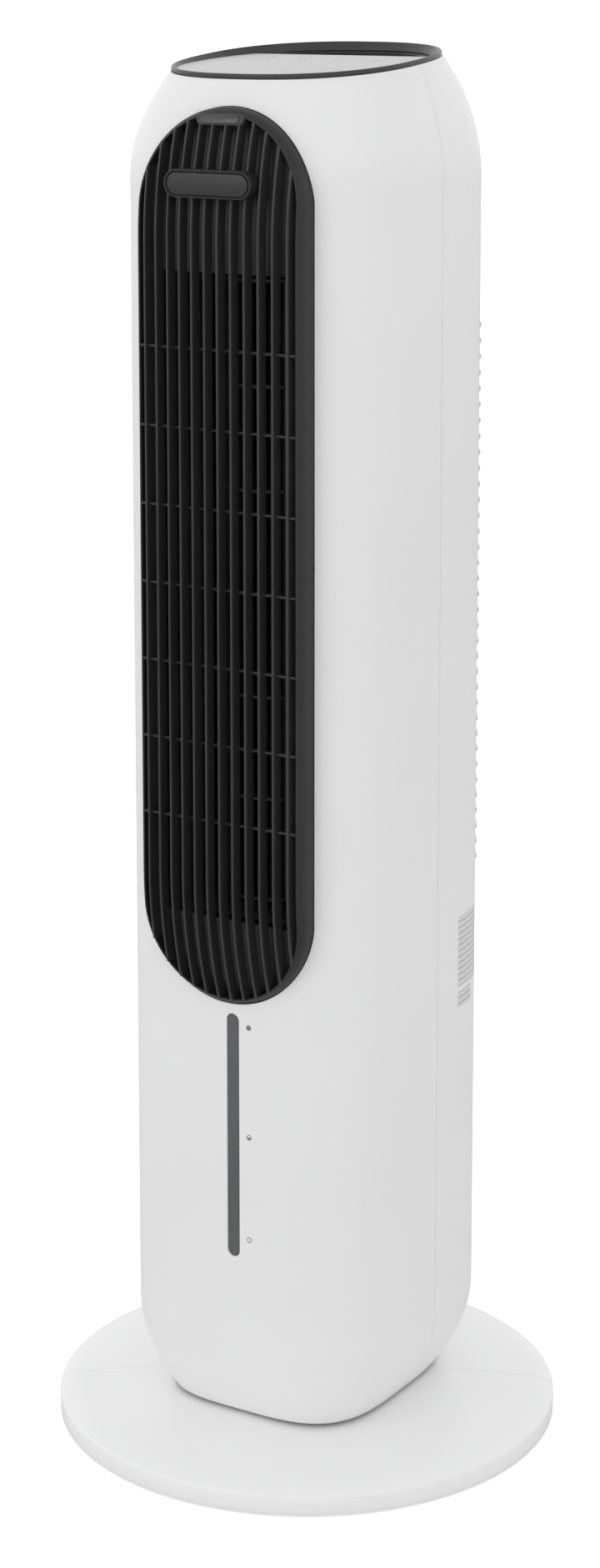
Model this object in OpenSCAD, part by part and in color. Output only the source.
// Tower evaporative cooler: a column on a round swinging foot, with a tall outlet grille in front,
// a pull-out water tank low at the back and a pull-out cooling cassette above it.
// Millimetres, +Z up, front towards -Y, origin on the floor at the centre of the foot.

/* [Column] */
// Half width of the column, side to side
col_a = 104; // [100:1:108]
// Half depth of the column, front to back
col_b = 100; // [97:1:103]
// Roundness of the column's plan, higher is squarer
col_n = 3.5; // [3:0.1:4]
// Height at the middle of the top rim
rim_z = 945.5; // [943:0.5:950]
// Rise of the top rim per millimetre towards the back
rim_slope = 0.1; // [0.08:0.01:0.12]
// Shell wall thickness
wall = 2.6; // [2.4:0.1:2.8]

/* [Foot] */
// Radius of the round foot
foot_r = 175; // [170:1:190]
// Turn of the foot under the column at rest
foot_turn = 30; // [0:5:40]

/* [Outlet grille] */
// Half width of the grille
grille_r = 63.5; // [62:0.5:64]
// Number of upright bars
bar_count = 12; // [10:2:12]
// Distance from bar to bar
bar_pitch = 9.89; // [9.5:0.01:10]
// How far the grille stands in front of the column's plan
grille_proud = 19; // [17:1:20]

/* [Swing drive] */
// Tooth size of the swing gears
gear_module = 1.25; // [1.25]
// Teeth on the fixed gear
gear_teeth = 54; // [54]
// Teeth on the pinion
pinion_teeth = 18; // [18]

/* [Hidden] */
$fn = 64;

eps = 0.01;
gap = 0.4;                     // running gap round the parts that pull out
half_steps = 32;               // facets along half of the column's plan
shoulder_z = 871;              // where the top shoulder starts
hem_z = 28;                    // lowest edge of the column
heel_z = 90;                   // where the bottom curve ends
rim_a = 86;
rim_b = 85;
rim_n = 2.4;
hem_a = 78.5;
hem_b = 87;
rim_tilt = atan(rim_slope);
pad_tilt = 4;
pad_drop = 0.6;
foot_top_z = 28;               // crown of the foot
foot_edge_z = 18.8;
foot_edge_r = foot_r - 9.5;
seat_r = 62;
spindle_r = 24;
swing_r = gear_module * (gear_teeth + pinion_teeth) / 2;
grille_low = 324;
grille_high = 920;
grille_mid = (grille_low + grille_high) / 2;
grille_run = (grille_high - grille_low) / 2 - grille_r;
grille_front = -(col_b + grille_proud);
grille_crown = 280;            // radius of the grille's front across its width
outlet_low = 383;
outlet_high = 814;
outlet_half = 49;
rib_top = 764.8;
rib_pitch = 52.26;
rib_count = 7;
wheel_y = -34;
wheel_r = 42;
blower_low = 390;
blower_high = 808;
window_low = 145;
window_high = 317;
window_x = 3;
tank_half = 73;
tank_low = 84;
tank_high = 326;
tank_front = -84;
tank_back = 84;
door_half = 74.6;
door_high = 341;
cassette_y = 66;
cassette_low = 385;
cassette_high = 786;
louvre_pitch = 10.9;
boss_x = 88;
boss_z = [110, 352, 600, 838];
riser_x = -87;
riser_y = 42;
pump_x = -40;
pump_r = 16;
port_x = -63;
gland_z = 60;
gland_r = 3.8;

// ---- shared shapes -------------------------------------------------------

function plan_point(a, b, n, t) = [a * sign(cos(t)) * pow(abs(cos(t)), 2 / n),
                                   b * sign(sin(t)) * pow(abs(sin(t)), 2 / n)];
function plan(a, b, n, steps = 64) = [for (i = [0:steps - 1]) plan_point(a, b, n, i * 360 / steps)];

module plate(a, b, n, z0, z1) {
  translate([0, 0, z0]) linear_extrude(z1 - z0) polygon(plan(a, b, n));
}

// Levels of the column: [half width, half depth, roundness, height, slope]
function hem_level(u) = let (f = pow(1 - u, 2))
  [col_a - (col_a - hem_a) * f, col_b - (col_b - hem_b) * f, col_n, hem_z + (heel_z - hem_z) * u, 0];
function rim_level(u) = let (f = u * u)
  [col_a - (col_a - rim_a) * f, col_b - (col_b - rim_b) * f, col_n - (col_n - rim_n) * f,
   shoulder_z + (rim_z - shoulder_z) * u, rim_slope * u];
levels = [for (i = [0:8]) hem_level(i / 8), for (i = [0:10]) rim_level(i / 10)];

function level_points(l, off, start) = [for (j = [0:half_steps])
  let (p = plan_point(l[0] - off, l[1] - off, l[2], start + j * 180 / half_steps))
  [p[0], p[1], l[3] + l[4] * p[1]]];

// One half of the column's wall, start 180 for the front and 0 for the back.
module half_wall(start, out = 0, in = wall) {
  r = len(levels);
  k = half_steps + 1;
  inner = r * k;
  pts = [for (off = [-out, in]) for (l = levels) each level_points(l, off, start)];
  skin = [for (i = [0:r - 2]) for (j = [0:half_steps - 1]) let (p = i * k + j, q = p + k)
    each [[p, q, q + 1], [p, q + 1, p + 1], [inner + p, inner + q + 1, inner + q],
          [inner + p, inner + p + 1, inner + q + 1]]];
  top = (r - 1) * k;
  rims = [for (j = [0:half_steps - 1])
    each [[top + j, inner + top + j, inner + top + j + 1], [top + j, inner + top + j + 1, top + j + 1],
          [j, j + 1, inner + j + 1], [j, inner + j + 1, inner + j]]];
  ends = [for (i = [0:r - 2]) let (p = i * k, q = p + k, e = half_steps)
    each [[p, inner + p, inner + q], [p, inner + q, q],
          [p + e, q + e, inner + q + e], [p + e, inner + q + e, inner + p + e]]];
  polyhedron(pts, concat(skin, rims, ends), convexity = 8);
}

// A slot with round ends, standing in the XZ plane and running from y0 to y1.
module upright_slot(r, run, z, y0, y1, x = 0) {
  translate([x, y1, z]) rotate([90, 0, 0]) linear_extrude(y1 - y0) {
    square([2 * r, 2 * run], center = true);
    translate([0, run]) circle(r);
    translate([0, -run]) circle(r);
  }
}

module level_slot(r, run, z, y0, y1) {
  translate([0, y1, z]) rotate([90, 0, 0]) linear_extrude(y1 - y0) {
    square([2 * run, 2 * r], center = true);
    translate([run, 0]) circle(r);
    translate([-run, 0]) circle(r);
  }
}

// A pipe along a list of points, with a round knuckle at each bend.
module pipe(pts, r) {
  for (i = [0:len(pts) - 2]) {
    d = pts[i + 1] - pts[i];
    h = norm(d);
    translate(pts[i]) rotate([0, acos(d[2] / h), atan2(d[1], d[0])]) cylinder(r = r, h = h);
  }
  if (len(pts) > 2) for (i = [1:len(pts) - 2]) translate(pts[i]) sphere(r + 0.5);
}

module rounded_box(x0, x1, y0, y1, z0, z1, r) {
  translate([0, 0, z0]) linear_extrude(z1 - z0) {
    translate([x0 + r, y0]) square([x1 - x0 - 2 * r, y1 - y0]);
    translate([x0, y0 + r]) square([x1 - x0, y1 - y0 - 2 * r]);
    for (x = [x0 + r, x1 - r]) for (y = [y0 + r, y1 - r]) translate([x, y]) circle(r);
  }
}

// ---- foot ----------------------------------------------------------------

function dome(r) = foot_top_z - (foot_top_z - foot_edge_z) * pow(r / foot_edge_r, 2);
dome_radii = [for (i = [0:8]) seat_r + (foot_edge_r - seat_r) * i / 8];

module foot_half(start) {
  skin = 3;
  outline = concat(
    [for (r = dome_radii) [r, dome(r)]],
    [[foot_r - 1.2, 15.8], [foot_r - 0.3, 15.2], [foot_r, 14.2], [foot_r, 1.5], [foot_r - skin, 1.5],
     [foot_r - skin, 12.8], [foot_edge_r - 1, foot_edge_z - skin]],
    [for (i = [7:-1:2]) [dome_radii[i], dome(dome_radii[i]) - skin]],
    [[80, 19], [seat_r, 19]]);
  difference() {
    rotate([0, 0, start + 0.05]) rotate_extrude(angle = 179.9) polygon(outline);
    for (i = [0:5]) rotate([0, 0, foot_turn + 30 + i * 60]) translate([71, 0, 18]) cylinder(r = 1.95, h = 6);
  }
  for (i = [0:2]) rotate([0, 0, start + 30 + i * 60]) translate([150, 0, 4.2]) difference() {
    cylinder(r = 11, h = dome(150) - skin - 4.2 + 0.8);
    translate([0, 0, -eps]) cylinder(r = 3, h = 4);
  }
}
module foot_front_half() { color([0.93, 0.93, 0.93]) foot_half(180 + foot_turn); }
module foot_rear_half() { color([0.93, 0.93, 0.93]) foot_half(foot_turn); }

module foot_ballast() {
  color([0.45, 0.46, 0.48]) difference() {
    translate([0, 0, 5]) cylinder(r = 134, h = 4);
    translate([0, 0, 4]) cylinder(r = 84, h = 6);
  }
}

module foot_pads() {
  color([0.15, 0.15, 0.15]) for (i = [0:5]) rotate([0, 0, foot_turn + 30 + i * 60])
    translate([150, 0, 0]) {
      cylinder(r = 10, h = 4.1);
      cylinder(r = 2.9, h = 7.5);
    }
}

module foot_screws() {
  color([0.7, 0.7, 0.72]) for (i = [0:5]) rotate([0, 0, foot_turn + 30 + i * 60])
    translate([71, 0, 11]) {
      cylinder(r = 3.8, h = 3);
      cylinder(r = 1.9, h = 12.6);
    }
}

module turntable_seat() {
  color([0.2, 0.2, 0.21]) difference() {
    union() {
      translate([0, 0, 14]) cylinder(r = 78, h = 5);
      translate([0, 0, 19 - eps]) cylinder(r = seat_r - 1, h = 7 + eps);
      translate([0, 0, 26 - eps]) cylinder(r = spindle_r, h = 27);
    }
    translate([0, 0, 13]) cylinder(r = 16, h = 42);
    for (i = [0:5]) rotate([0, 0, foot_turn + 30 + i * 60]) translate([71, 0, 13]) cylinder(r = 2.1, h = 8);
    translate([0, 0, 24]) difference() {
      cylinder(r = 54.2, h = 3);
      cylinder(r = 41.8, h = 3);
    }
    translate([0, 0, 50.5]) difference() {
      cylinder(r = spindle_r + 2, h = 1.6);
      cylinder(r = spindle_r - 1.5, h = 1.6);
    }
  }
}

module glide_ring() {
  color([0.9, 0.88, 0.8]) difference() {
    translate([0, 0, 24.05]) cylinder(r = 54, h = 5.75);
    translate([0, 0, 24]) cylinder(r = 42, h = 6);
  }
}

// ---- swing drive ---------------------------------------------------------

function unwind(base, r) = let (t = sqrt(max(0, pow(r / base, 2) - 1))) t * 180 / PI - atan(t);

module gear_outline(teeth) {
  pitch_r = gear_module * teeth / 2;
  base_r = pitch_r * cos(20);
  root_r = pitch_r - 1.2 * gear_module;
  tip_r = pitch_r + 0.88 * gear_module;
  start_r = max(base_r, root_r);
  half = 90 / teeth - 0.09 / pitch_r * 180 / PI + unwind(base_r, pitch_r);
  radii = [for (i = [0:4]) start_r + (tip_r - start_r) * i / 4];
  polygon([for (t = [0:teeth - 1]) let (mid = t * 360 / teeth) each concat(
    [let (a = mid - half + unwind(base_r, start_r)) root_r * [cos(a), sin(a)]],
    [for (r = radii) let (a = mid - half + unwind(base_r, r)) r * [cos(a), sin(a)]],
    [for (i = [4:-1:0]) let (r = radii[i], a = mid + half - unwind(base_r, r)) r * [cos(a), sin(a)]],
    [let (a = mid + half - unwind(base_r, start_r)) root_r * [cos(a), sin(a)]])]);
}

module swing_gear() {
  color([0.88, 0.86, 0.78]) difference() {
    translate([0, 0, 41.5]) linear_extrude(8.9) gear_outline(gear_teeth);
    translate([0, 0, 40]) cylinder(r = spindle_r + 0.03, h = 12);
  }
}

module gear_clip() {
  color([0.55, 0.56, 0.58]) difference() {
    translate([0, 0, 50.6]) cylinder(r = 28, h = 1.4);
    translate([0, 0, 50]) cylinder(r = spindle_r - 1.4, h = 3);
  }
}

module hub_plate() {
  color([0.2, 0.2, 0.21]) difference() {
    union() {
      plate(hem_a - wall - 0.6, hem_b - wall - 0.6, col_n, 30, 34);
      translate([0, 0, 30]) cylinder(r = 33, h = 11);
      for (x = [-29, 29]) translate([x, swing_r, 33]) cylinder(r = 4.5, h = 19.8);
    }
    translate([0, 0, 29]) cylinder(r = spindle_r + 0.06, h = 14);
    for (x = [-29, 29]) translate([x, swing_r, 44]) cylinder(r = 1.5, h = 10);
  }
}

module swing_bracket() {
  color([0.72, 0.73, 0.75]) difference() {
    rounded_box(-36, 36, swing_r - 13, swing_r + 13, 53, 55, 6);
    translate([0, swing_r, 52]) cylinder(r = 5, h = 4);
    for (x = [-29, 29]) translate([x, swing_r, 52]) cylinder(r = 1.8, h = 4);
  }
}

module swing_motor() {
  color([0.68, 0.69, 0.71]) difference() {
    union() {
      translate([0, swing_r, 55.1]) cylinder(r = 25, h = 20);
      translate([0, swing_r, 54.6 - 3]) cylinder(r = 4.8, h = 4);
    }
    translate([0, swing_r, 50]) cylinder(r = 3.05, h = 17);
  }
}

module swing_pinion() {
  color([0.88, 0.86, 0.78]) translate([0, swing_r, 0]) {
    translate([0, 0, 42]) linear_extrude(8) rotate(10) gear_outline(pinion_teeth);
    translate([0, 0, 49.9]) cylinder(r = 3, h = 16);
  }
}

// ---- shells --------------------------------------------------------------

module side_bosses(y0, y1) {
  for (s = [-1, 1]) for (z = boss_z) {
    translate([s * boss_x, y1, z]) rotate([90, 0, 0]) cylinder(r = 5, h = y1 - y0);
    translate([s > 0 ? boss_x : -101.9, y0, z - 1.2]) cube([101.9 - boss_x, y1 - y0, 2.4]);
  }
}

module boss_holes(r, y0, y1) {
  for (s = [-1, 1]) for (z = boss_z) translate([s * boss_x, y1, z]) rotate([90, 0, 0])
    cylinder(r = r, h = y1 - y0);
}

module front_shell() {
  color([0.93, 0.93, 0.93]) difference() {
    union() {
      half_wall(180);
      side_bosses(-14, -0.1);
    }
    upright_slot(grille_r + gap, grille_run, grille_mid, -130, -60);
    upright_slot(5, (window_high - window_low) / 2 - 5, (window_high + window_low) / 2, -110, -80, window_x);
    boss_holes(1.5, -12, 1);
  }
}

module rear_shell() {
  color([0.93, 0.93, 0.93]) difference() {
    union() {
      half_wall(0);
      side_bosses(0.1, 12);
    }
    translate([-120, cassette_y - gap, cassette_low - gap])
      cube([240, 60, cassette_high - cassette_low + 2 * gap]);
    translate([-door_half - gap, 40, tank_low - gap]) cube([2 * door_half + 2 * gap, 80, door_high - tank_low + 2 * gap]);
    translate([45, 60, gland_z]) rotate([-90, 0, 0]) cylinder(r = 7, h = 50);
    boss_holes(1.9, -1, 13);
  }
}

module shell_screws() {
  color([0.7, 0.7, 0.72]) for (s = [-1, 1]) for (z = boss_z) translate([s * boss_x, 0, z]) {
    translate([0, 12.1, 0]) rotate([-90, 0, 0]) cylinder(r = 3.4, h = 2.6);
    translate([0, 12.2, 0]) rotate([90, 0, 0]) cylinder(r = 1.45, h = 23);
  }
}

module cord_gland() {
  color([0.12, 0.12, 0.12]) translate([45, 0, gland_z]) rotate([-90, 0, 0]) difference() {
    union() {
      translate([0, 0, 83]) cylinder(r = 6.8, h = 16);
      translate([0, 0, 98.8]) cylinder(r = 9, h = 2.2);
      translate([0, 0, 100.9]) cylinder(r1 = 7, r2 = 5.6, h = 6);
      translate([0, 0, 83]) cylinder(r = 9, h = 2.1);
    }
    translate([0, 0, 80]) cylinder(r = gland_r, h = 30);
  }
}

module rating_label() {
  color([0.86, 0.86, 0.86]) intersection() {
    difference() {
      linear_extrude(1000) polygon(plan(col_a + 0.22, col_b + 0.22, col_n, 64));
      translate([0, 0, -1]) linear_extrude(1002) polygon(plan(col_a + 0.06, col_b + 0.06, col_n, 64));
    }
    union() {
      translate([80, 30, 316]) cube([40, 35, 50]);
      translate([80, 30, 301]) cube([40, 23, 11]);
    }
  }
}

// ---- outlet grille -------------------------------------------------------

// How far the grille's front rolls back towards its two ends.
function roll(z) = 15 * pow(max(0, abs(z - grille_mid) - 210) / 88, 2);
grille_levels = [for (i = [0:12]) grille_mid - 300 + i * 90 / 12, for (i = [0:12]) grille_mid + 210 + i * 90 / 12];

// Everything behind the grille's crowned front, set back by depth.
module behind_front(depth) {
  intersection() {
    translate([-70, 0, 0]) rotate([90, 0, 90]) linear_extrude(140)
      polygon(concat([for (z = grille_levels) [grille_front + depth + roll(z), z]],
                     [[-60, grille_mid + 300], [-60, grille_mid - 300]]));
    translate([0, grille_front + depth + grille_crown, grille_mid - 310]) cylinder(r = grille_crown, h = 620, $fn = 180);
  }
}

module grille_bars() {
  intersection() {
    difference() {
      behind_front(0);
      behind_front(9);
    }
    upright_slot(grille_r - 3.5, grille_run, grille_mid, -130, -60);
    union() for (i = [0:bar_count - 1])
      translate([(i - (bar_count - 1) / 2) * bar_pitch - 1, -125, grille_low - 5]) cube([2, 60, 610]);
  }
}

module outlet_grille() {
  color([0.13, 0.13, 0.14]) difference() {
    union() {
      grille_bars();
      intersection() {
        behind_front(0.4);
        difference() {
          upright_slot(grille_r, grille_run, grille_mid, -130, -86);
          upright_slot(grille_r - 5, grille_run, grille_mid, -130, -80);
        }
      }
      for (i = [0:rib_count - 1]) translate([-outlet_half - 11.5, grille_front + 7.5, rib_top - i * rib_pitch - 0.9])
        cube([2 * outlet_half + 23, 4.5, 1.8]);
      level_slot(9, 24, 872, grille_front - 3, grille_front + 8);
      intersection() {
        behind_front(0.4);
        translate([-18, grille_front - 4, 908]) cube([36, 26, 12]);
        upright_slot(grille_r - 1, grille_run, grille_mid, -130, -60);
      }
    }
    level_slot(7.2, 23.8, 872, grille_front - 5, grille_front - 1.4);
    level_slot(2.8, 12.2, 913.4, grille_front, grille_front + 11.2);
  }
}

module grille_backplate() {
  color([0.1, 0.1, 0.11]) difference() {
    intersection() {
      translate([-60, 0, 0]) rotate([90, 0, 90]) linear_extrude(120)
        polygon(concat([for (z = grille_levels) [grille_front + 14.5 + roll(z) * 0.8, z]],
                       [for (i = [25:-1:0]) [grille_front + 16.5 + roll(grille_levels[i]) * 0.8, grille_levels[i]]]));
      upright_slot(grille_r - 5.4, grille_run, grille_mid, -110, -70);
    }
    translate([-outlet_half, -110, outlet_low]) cube([2 * outlet_half, 40, outlet_high - outlet_low]);
  }
}

module badge() {
  color([0.25, 0.25, 0.26]) level_slot(7, 23.6, 872, grille_front - 2.8, grille_front - 1.5);
}

module receiver_window() {
  color([0.16, 0.16, 0.17]) level_slot(2.6, 12, 913.4, grille_front + 9.7, grille_front + 11.1);
}

module level_window() {
  z = (window_high + window_low) / 2;
  run = (window_high - window_low) / 2 - 5;
  color([0.3, 0.3, 0.31]) {
    upright_slot(4.8, run, z, -98.6, -96.5, window_x);
    upright_slot(7.5, run, z, -96.55, -94.8, window_x);
  }
}

// ---- top -----------------------------------------------------------------

module on_rim() {
  translate([0, 0, rim_z]) rotate([rim_tilt, 0, 0]) children();
}
// The control pad lies flatter than the rim, so it sinks towards the back.
module on_pad() {
  translate([0, 0, rim_z - pad_drop]) rotate([pad_tilt, 0, 0]) children();
}
module rim_disc(inset, z0, z1) {
  translate([0, 0, z0]) linear_extrude(z1 - z0) polygon(plan(rim_a - inset, rim_b - inset, rim_n, 96));
}

module top_bezel() {
  color([0.14, 0.14, 0.15]) on_rim() difference() {
    union() {
      rim_disc(0.2, 0.1, 3.4);
      rim_disc(wall + 1.2, -8, 0.2);
    }
    rim_disc(5.4, -9, 5);
  }
}

module panel_hole_grid() {
  for (i = [0:3]) for (j = [0:2]) translate([-43.5 + i * 29, 13 + j * 8, 0]) children();
}

module control_panel() {
  color([0.72, 0.72, 0.73]) on_pad() difference() {
    rim_disc(5.8, -1.4, 0.6);
    translate([-90, 48, -3]) cube([180, 60, 6]);
    translate([0, 0, -3]) panel_hole_grid() cylinder(r = 1.1, h = 6, $fn = 24);
  }
}

module handle_cup() {
  color([0.12, 0.12, 0.13]) on_pad() intersection() {
    difference() {
      union() {
        rim_disc(5.8, -2, 0);
        rim_disc(10, -38, -1);
      }
      difference() {
        rim_disc(12, -35.5, 1);
        translate([-90, -90, -50]) cube([180, 90 + 50.4, 60]);
      }
    }
    translate([-90, 48.3, -40]) cube([180, 60, 50]);
  }
}

module control_board() {
  color([0.1, 0.35, 0.2]) on_pad() {
    translate([-60, -42, -12]) cube([120, 84, 1.6]);
    translate([-50, -34, -10.45]) cube([26, 18, 4]);
    translate([12, -36, -10.45]) cube([32, 14, 6]);
  }
}

module indicator_lights() {
  color([0.85, 0.86, 0.88]) on_pad() translate([0, 0, -10.3]) panel_hole_grid()
    cylinder(r = 0.95, h = 11, $fn = 24);
}

module wiring_loom() {
  color([0.2, 0.2, 0.22]) pipe([[62, 28, 926], [62, 28, 912], [88, 28, 912], [88, 28, 66], [34, 28, 66]], 3);
}

// ---- blower --------------------------------------------------------------

module wall_arc(r, y, from, to) {
  intersection() {
    difference() {
      translate([0, y]) circle(r + 2);
      translate([0, y]) circle(r);
    }
    polygon(concat([[0, y]], [for (i = [0:8]) let (a = from + (to - from) * i / 8) [140 * cos(a), y + 140 * sin(a)]]));
  }
}

module scroll_wall() {
  color([0.3, 0.3, 0.31]) translate([0, 0, blower_low - 6]) linear_extrude(blower_high - blower_low + 10) {
    wall_arc(50, wheel_y, -10, 62);
    polygon([[49.4, -44], [51.4, -44], [53, -95], [51, -95]]);
  }
}

module tongue_wall() {
  color([0.3, 0.3, 0.31]) translate([0, 0, blower_low - 6]) linear_extrude(blower_high - blower_low + 10) {
    wall_arc(46, wheel_y, 185, 215);
    polygon([[-51, -95], [-53, -95], [-40, -60.6], [-37.6, -60.2]]);
  }
}

module deck(z0, z1) {
  difference() {
    plate(col_a - wall - 1, col_b - wall - 1, col_n, z0, z1);
    translate([-120, 43.5, z0 - 1]) cube([240, 80, z1 - z0 + 2]);
    for (s = [-1, 1]) translate([s * 88 - 9, 20, z0 - 1]) cube([18, 40, z1 - z0 + 2]);
    translate([-70, -120, z0 - 1]) cube([140, 35, z1 - z0 + 2]);
  }
}

module lower_deck() {
  color([0.85, 0.85, 0.85]) difference() {
    union() {
      deck(379, 383);
      translate([0, wheel_y, 373]) cylinder(r = 14, h = 7);
    }
    translate([0, wheel_y, 372]) cylinder(r = 9.03, h = 14);
  }
}

module upper_deck() {
  color([0.85, 0.85, 0.85]) difference() {
    deck(813, 817);
    translate([0, wheel_y, 812]) cylinder(r = 12, h = 6);
    for (a = [45:90:315]) translate([32 * cos(a), wheel_y + 32 * sin(a), 812]) cylinder(r = 2, h = 6);
  }
}

module lower_bearing() {
  color([0.75, 0.6, 0.35]) translate([0, wheel_y, 0]) difference() {
    translate([0, 0, 374]) cylinder(r = 9, h = 9);
    translate([0, 0, 373]) cylinder(r = 4.05, h = 11);
  }
}

module blower_wheel() {
  span = blower_high - blower_low;
  disc_count = 7;
  color([0.25, 0.25, 0.26]) translate([0, wheel_y, blower_low]) difference() {
    union() {
      for (i = [0:disc_count - 1]) translate([0, 0, (span - 2) * i / (disc_count - 1)])
        difference() {
          cylinder(r = wheel_r, h = 2);
          if (i > 0 && i < disc_count - 1) translate([0, 0, -1]) cylinder(r = wheel_r - 12, h = 4);
        }
      for (i = [0:29]) rotate([0, 0, i * 12]) linear_extrude(span)
        polygon([[31, 0], [34, 2.4], [37.5, 3.6], [41.5, 4.2], [41.5, 5.4], [37, 4.8], [33.2, 3.4], [30.4, 1]]);
      cylinder(r = 8, h = 12);
      translate([0, 0, span - 12]) cylinder(r = 8, h = 12);
    }
    translate([0, 0, -1]) cylinder(r = 4.02, h = span + 2);
  }
}

module blower_shaft() {
  color([0.8, 0.8, 0.82]) translate([0, wheel_y, 375]) cylinder(r = 4, h = 470);
}

module blower_motor() {
  color([0.7, 0.71, 0.73]) translate([0, wheel_y, 0]) difference() {
    union() {
      translate([0, 0, 817.1]) cylinder(r = 38, h = 4);
      translate([0, 0, 821]) cylinder(r = 34, h = 40);
      translate([0, 0, 812]) cylinder(r = 11, h = 6);
    }
    translate([0, 0, 811]) cylinder(r = 4.06, h = 38);
    for (a = [45:90:315]) translate([32 * cos(a), 32 * sin(a), 816]) cylinder(r = 2, h = 4);
  }
}

module motor_cap() {
  color([0.2, 0.2, 0.2]) translate([0, wheel_y, 0]) difference() {
    translate([0, 0, 845]) cylinder(r = 37, h = 20);
    translate([0, 0, 844]) cylinder(r = 34.2, h = 18);
  }
}

// ---- cooling cassette and water path -------------------------------------

module skirt_ring(out, in, z0, z1) {
  translate([0, 0, z0]) linear_extrude(z1 - z0) difference() {
    polygon(plan(col_a + out, col_b + out, col_n));
    polygon(plan(col_a - in, col_b - in, col_n));
    translate([-130, -130]) square([260, 130 + cassette_y]);
  }
}

module intake_grille() {
  low = cassette_low;
  high = cassette_high;
  color([0.93, 0.93, 0.93]) {
    skirt_ring(0, wall, low, low + 9);
    skirt_ring(0, wall, high - 9, high);
    difference() {
      skirt_ring(0, wall, low + 9 - eps, high - 9 + eps);
      translate([-88, 60, low + 8]) cube([176, 60, high - low - 16]);
    }
    for (x = [-60:30:60]) translate([x - 1.5, 94, low + 8]) intersection() {
      translate([0, -6, 0]) cube([3, 10, high - low - 16]);
      translate([-x + 1.5, -94, 0]) linear_extrude(high - low) polygon(plan(col_a - 0.6, col_b - 0.6, col_n));
    }
    for (z = [low + 12:louvre_pitch:high - 14]) skirt_ring(1, wall, z, z + 4.4);
  }
}

module dust_filter() {
  color([0.35, 0.36, 0.38]) difference() {
    translate([-70, 85, 398]) cube([140, 2, 374]);
    for (z = [402:12:760]) for (s = [-1, 1]) translate([s > 0 ? 2 : -66, 84, z]) cube([64, 4, 9]);
  }
}

module cooling_pad() {
  color([0.62, 0.52, 0.36]) translate([-73, 52, 399]) cube([146, 29, 372]);
}

module pad_frame() {
  color([0.9, 0.9, 0.9]) difference() {
    translate([-77, 50, 395]) cube([154, 33.5, 380]);
    translate([-73.3, 49, 398.7]) cube([146.6, 33, 372.6]);
    translate([-68, 48, 404]) cube([136, 40, 362]);
  }
}

module water_distributor() {
  color([0.85, 0.85, 0.86]) difference() {
    translate([-74, 50, 789]) cube([148, 34, 18]);
    translate([-72, 52, 791]) cube([144, 30, 20]);
    for (x = [-64:16:64]) translate([x, 67, 788]) cylinder(r = 1.5, h = 5, $fn = 24);
  }
}

module catch_tray() {
  color([0.85, 0.85, 0.86]) difference() {
    translate([-70, 47, 352]) cube([140, 39, 24]);
    translate([-68, 49, 354]) cube([136, 35, 24]);
    translate([40, 67, 351]) cylinder(r = 7, h = 5);
  }
}

module riser_pipe() {
  color([0.8, 0.8, 0.78]) pipe([[port_x, riser_y, 334.5], [port_x, riser_y, 345],
    [riser_x, riser_y, 345], [riser_x, riser_y, 823], [-58, riser_y, 823], [-58, 66, 823], [-58, 66, 797]], 4);
}

module riser_seal() {
  color([0.2, 0.2, 0.2]) translate([port_x, riser_y, 0]) difference() {
    translate([0, 0, 328.6]) cylinder(r = 7, h = 8);
    translate([0, 0, 327]) cylinder(r = 4.03, h = 12);
  }
}

// ---- water tank ----------------------------------------------------------

module tank_shelf() {
  color([0.85, 0.85, 0.85]) difference() {
    plate(col_a - wall - 3, col_b - wall - 3, col_n, 80, 83.6);
    for (s = [-1, 1]) translate([s * 88 - 9, 16, 79]) cube([18, 26, 6]);
  }
}

module tank_bin() {
  t = 2.2;
  color([0.85, 0.88, 0.9, 0.6]) {
    difference() {
      rounded_box(-tank_half, tank_half, tank_front, tank_back, tank_low, tank_high, 20);
      rounded_box(-tank_half + t, tank_half - t, tank_front + t, tank_back - t, tank_low + t, tank_high + 1, 18);
    }
    for (x = [-58, 58]) for (z = [150, 300]) translate([x, tank_back - 1, z]) rotate([-90, 0, 0])
      cylinder(r = 5, h = 9);
  }
}

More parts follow.
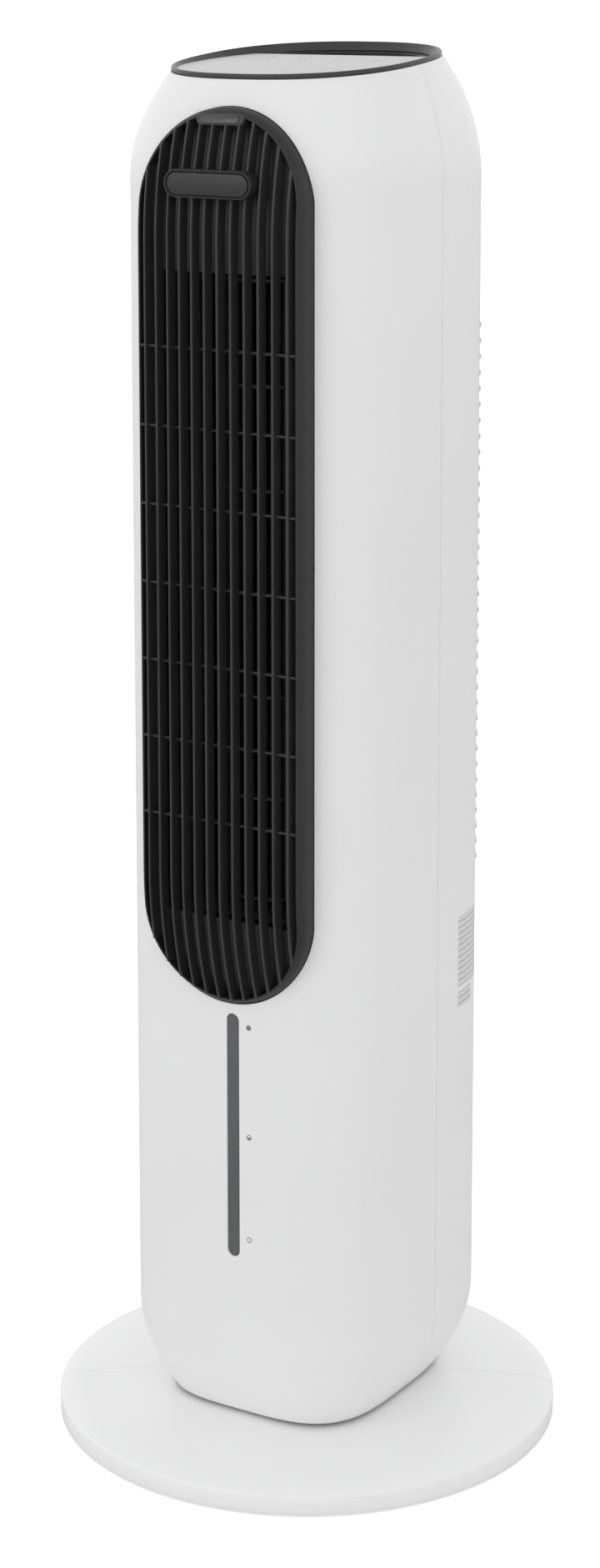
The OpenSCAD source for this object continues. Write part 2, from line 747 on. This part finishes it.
module tank_door() {
  color([0.93, 0.93, 0.93]) difference() {
    intersection() {
      half_wall(0);
      translate([-door_half, 50, tank_low]) cube([2 * door_half, 60, door_high - tank_low]);
    }
    level_slot(11, 28, 300, 80, 120);
  }
}

module tank_pull() {
  color([0.86, 0.86, 0.86]) difference() {
    union() {
      level_slot(10.7, 28, 300, 86.3, 99.2);
    }
    level_slot(8.7, 28, 300, 88.3, 102);
  }
}

module pump_body() {
  color([0.15, 0.15, 0.16]) translate([pump_x, riser_y, 0]) difference() {
    union() {
      translate([0, 0, 86.4]) cylinder(r = pump_r, h = 40);
      translate([-19, -5, 94]) cube([10, 10, 10]);
    }
    translate([0, 0, 90]) cylinder(r = 13, h = 12);
    translate([0, 0, 101]) cylinder(r = 2.06, h = 14);
    translate([0, 0, 85]) cylinder(r = 4, h = 6);
  }
}

module pump_outlet() {
  color([0.8, 0.8, 0.78]) pipe([[pump_x - pump_r - 0.2, riser_y, 112], [port_x, riser_y, 112],
    [port_x, riser_y, 328.2]], 4.5);
}

module pump_rotor() {
  color([0.85, 0.85, 0.85]) translate([pump_x, riser_y, 0]) {
    translate([0, 0, 91]) cylinder(r = 3.5, h = 10);
    translate([0, 0, 100.9]) cylinder(r = 2, h = 13);
    for (i = [0:5]) rotate([0, 0, i * 60]) translate([0, -0.8, 91]) cube([12, 1.6, 8]);
  }
}

// ---- assembly ------------------------------------------------------------

foot_front_half();
foot_rear_half();
foot_ballast();
foot_pads();
foot_screws();
turntable_seat();
glide_ring();
swing_gear();
gear_clip();
hub_plate();
swing_bracket();
swing_motor();
swing_pinion();
front_shell();
rear_shell();
shell_screws();
cord_gland();
rating_label();
outlet_grille();
grille_backplate();
badge();
receiver_window();
top_bezel();
control_panel();
handle_cup();
control_board();
indicator_lights();
wiring_loom();
scroll_wall();
tongue_wall();
lower_deck();
upper_deck();
lower_bearing();
blower_wheel();
blower_shaft();
blower_motor();
motor_cap();
intake_grille();
dust_filter();
cooling_pad();
pad_frame();
water_distributor();
catch_tray();
riser_pipe();
riser_seal();
tank_shelf();
level_window();
tank_bin();
tank_door();
tank_pull();
pump_body();
pump_outlet();
pump_rotor();
